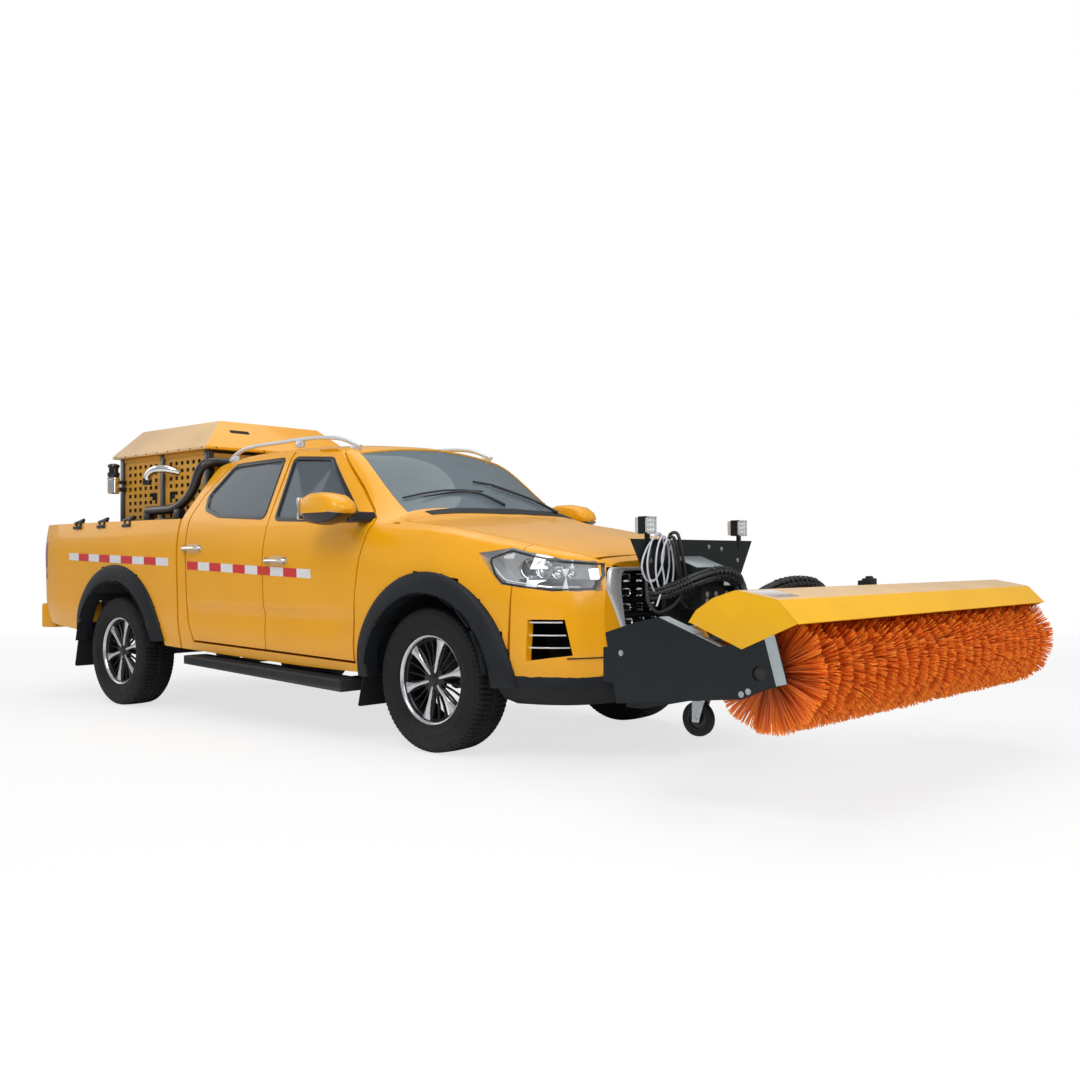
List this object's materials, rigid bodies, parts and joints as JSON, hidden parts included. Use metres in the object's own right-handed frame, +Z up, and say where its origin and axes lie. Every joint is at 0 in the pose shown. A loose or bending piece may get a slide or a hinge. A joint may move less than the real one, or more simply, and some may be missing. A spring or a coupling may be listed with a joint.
{
  "type": "double-cab pickup truck with a front-mounted rotary snow brush",
  "caption": "Double-cab pickup carrying a rotary snow brush on a front lift arm, with a power pack in its load bed.",
  "frame": {"origin": "on the ground under the middle of the whole machine", "axes": "+X forward, +Y to the left, +Z up"},
  "size_m": [6.845, 2.622, 1.985],
  "materials": {
    "body_paint": "gloss",
    "glass": "gloss",
    "lamp_lens": "gloss",
    "red_lens": "gloss",
    "black_plastic": "satin",
    "black_tube": "gloss",
    "dark_paint": "satin",
    "black_steel": "satin",
    "tyre_rubber": "matte",
    "caster_rubber": "matte",
    "alloy": "satin",
    "rod_chrome": "gloss",
    "galvanised": "satin",
    "bristle": "matte",
    "interior": "matte",
    "hose": "satin",
    "cable": "satin"
  },
  "bodies": {
    "root": {"axle_rear": "black_steel", "bed": "body_paint", "brush_mount": "dark_paint", "cab_shell": "body_paint", "cable_hank": "cable", "chassis_frame": "black_steel", "dashboard": "interior", "engine_block": "black_steel", "fender_left": "body_paint", "fender_right": "body_paint", "front_bumper": "body_paint", "grille": "black_plastic", "headlamp_left": "lamp_lens", "headlamp_right": "lamp_lens", "power_pack": "body_paint", "power_pack_hood": "body_paint", "rear_bumper": "body_paint", "rear_window": "glass", "roof_rail_left": "alloy", "roof_rail_right": "alloy", "seats": "interior", "sport_bar": "black_tube", "tail_lamp_left": "red_lens", "tail_lamp_right": "red_lens", "windshield": "glass"},
    "hood": {"hood": "body_paint"},
    "tailgate": {"tailgate": "body_paint"},
    "door_front_right": {"door_front_right": "body_paint", "glass_front_right": "glass"},
    "door_rear_right": {"door_rear_right": "body_paint", "glass_rear_right": "glass"},
    "knuckle_right": {"knuckle_right": "black_steel"},
    "wheel_front_right": {"tyre_front_right": "tyre_rubber", "rim_front_right": "alloy"},
    "wheel_rear_right": {"tyre_rear_right": "tyre_rubber", "rim_rear_right": "alloy"},
    "caster_fork_right": {"caster_fork_right": "galvanised"},
    "caster_wheel_right": {"caster_wheel_right": "caster_rubber"},
    "door_front_left": {"door_front_left": "body_paint", "glass_front_left": "glass"},
    "door_rear_left": {"door_rear_left": "body_paint", "glass_rear_left": "glass"},
    "knuckle_left": {"knuckle_left": "black_steel"},
    "wheel_front_left": {"tyre_front_left": "tyre_rubber", "rim_front_left": "alloy"},
    "wheel_rear_left": {"tyre_rear_left": "tyre_rubber", "rim_rear_left": "alloy"},
    "caster_fork_left": {"caster_fork_left": "galvanised"},
    "caster_wheel_left": {"caster_wheel_left": "caster_rubber"},
    "lift_arm": {"lift_arm": "dark_paint"},
    "head": {"brush_head": "dark_paint", "brush_cover": "body_paint", "hose_bundle": "hose"},
    "rotor": {"brush_rotor": "bristle"},
    "lift_barrel": {"lift_barrel": "dark_paint"},
    "lift_rod": {"lift_rod": "rod_chrome"}
  },
  "joints": [
    {"name": "door_front_right_swing", "type": "hinge", "parent": "root", "child": "door_front_right", "pos_m": [0.49601, -0.9303, 0.4445], "axis": [0, 0, 1], "range_deg": [0, 70]},
    {"name": "door_rear_right_swing", "type": "hinge", "parent": "root", "child": "door_rear_right", "pos_m": [-0.42525, -0.9303, 0.47075], "axis": [0, 0, 1], "range_deg": [0, 68]},
    {"name": "steer_right", "type": "hinge", "parent": "root", "child": "knuckle_right", "pos_m": [0.9925, -0.62, 0.378], "axis": [0, 0, 1], "range_deg": [-33, 33]},
    {"name": "wheel_front_right_spin", "type": "hinge", "parent": "knuckle_right", "child": "wheel_front_right", "pos_m": [0.9925, -0.79, 0.378], "axis": [0, 1, 0], "continuous": true},
    {"name": "wheel_rear_right_spin", "type": "hinge", "parent": "root", "child": "wheel_rear_right", "pos_m": [-2.1625, -0.79, 0.378], "axis": [0, 1, 0], "continuous": true},
    {"name": "caster_right_swivel", "type": "hinge", "parent": "head", "child": "caster_fork_right", "pos_m": [2.8525, -1.16, 0.455], "axis": [0, 0, 1], "continuous": true},
    {"name": "caster_right_roll", "type": "hinge", "parent": "caster_fork_right", "child": "caster_wheel_right", "pos_m": [2.8225, -1.16, 0.366], "axis": [0, 1, 0], "continuous": true},
    {"name": "door_front_left_swing", "type": "hinge", "parent": "root", "child": "door_front_left", "pos_m": [0.49601, 0.9303, 0.4445], "axis": [0, 0, -1], "range_deg": [0, 70]},
    {"name": "door_rear_left_swing", "type": "hinge", "parent": "root", "child": "door_rear_left", "pos_m": [-0.42525, 0.9303, 0.47075], "axis": [0, 0, -1], "range_deg": [0, 68]},
    {"name": "steer_left", "type": "hinge", "parent": "root", "child": "knuckle_left", "pos_m": [0.9925, 0.62, 0.378], "axis": [0, 0, 1], "range_deg": [-33, 33]},
    {"name": "wheel_front_left_spin", "type": "hinge", "parent": "knuckle_left", "child": "wheel_front_left", "pos_m": [0.9925, 0.79, 0.378], "axis": [0, 1, 0], "continuous": true},
    {"name": "wheel_rear_left_spin", "type": "hinge", "parent": "root", "child": "wheel_rear_left", "pos_m": [-2.1625, 0.79, 0.378], "axis": [0, 1, 0], "continuous": true},
    {"name": "caster_left_swivel", "type": "hinge", "parent": "head", "child": "caster_fork_left", "pos_m": [2.8525, 1.16, 0.455], "axis": [0, 0, 1], "continuous": true},
    {"name": "caster_left_roll", "type": "hinge", "parent": "caster_fork_left", "child": "caster_wheel_left", "pos_m": [2.8225, 1.16, 0.366], "axis": [0, 1, 0], "continuous": true},
    {"name": "hood_lift", "type": "hinge", "parent": "root", "child": "hood", "pos_m": [0.69278, 0, 1.24281], "axis": [0, -1, 0], "range_deg": [0, 45]},
    {"name": "tailgate_drop", "type": "hinge", "parent": "root", "child": "tailgate", "pos_m": [-3.34021, 0, 0.7375], "axis": [0, -1, 0], "range_deg": [0, 90]},
    {"name": "brush_lift", "type": "hinge", "parent": "root", "child": "lift_arm", "pos_m": [2.1525, 0, 0.45], "axis": [0, 1, 0], "range_deg": [0, 18]},
    {"name": "brush_swing", "type": "hinge", "parent": "lift_arm", "child": "head", "pos_m": [2.3225, 0, 0.45], "axis": [0, 0, 1], "range_deg": [-25, 25]},
    {"name": "brush_spin", "type": "hinge", "parent": "head", "child": "rotor", "pos_m": [3.1825, 0, 0.575], "axis": [0, 1, 0], "continuous": true},
    {"name": "lift_barrel_tilt", "type": "hinge", "parent": "root", "child": "lift_barrel", "pos_m": [2.0775, 0, 0.695], "axis": [0, 1, 0], "range_deg": [-0.3, 1.42]},
    {"name": "lift_rod_slide", "type": "slide", "parent": "lift_barrel", "child": "lift_rod", "axis": [0.6097, 0, -0.7926], "range_m": [0, 0.02878]}
  ],
  "couplings": [
    {"joint": "steer_left", "follows": "steer_right", "ratio": 1},
    {"joint": "lift_barrel_tilt", "follows": "brush_lift", "ratio": 0.066},
    {"joint": "lift_rod_slide", "follows": "brush_lift", "m_per_rad": 0.088}
  ]
}
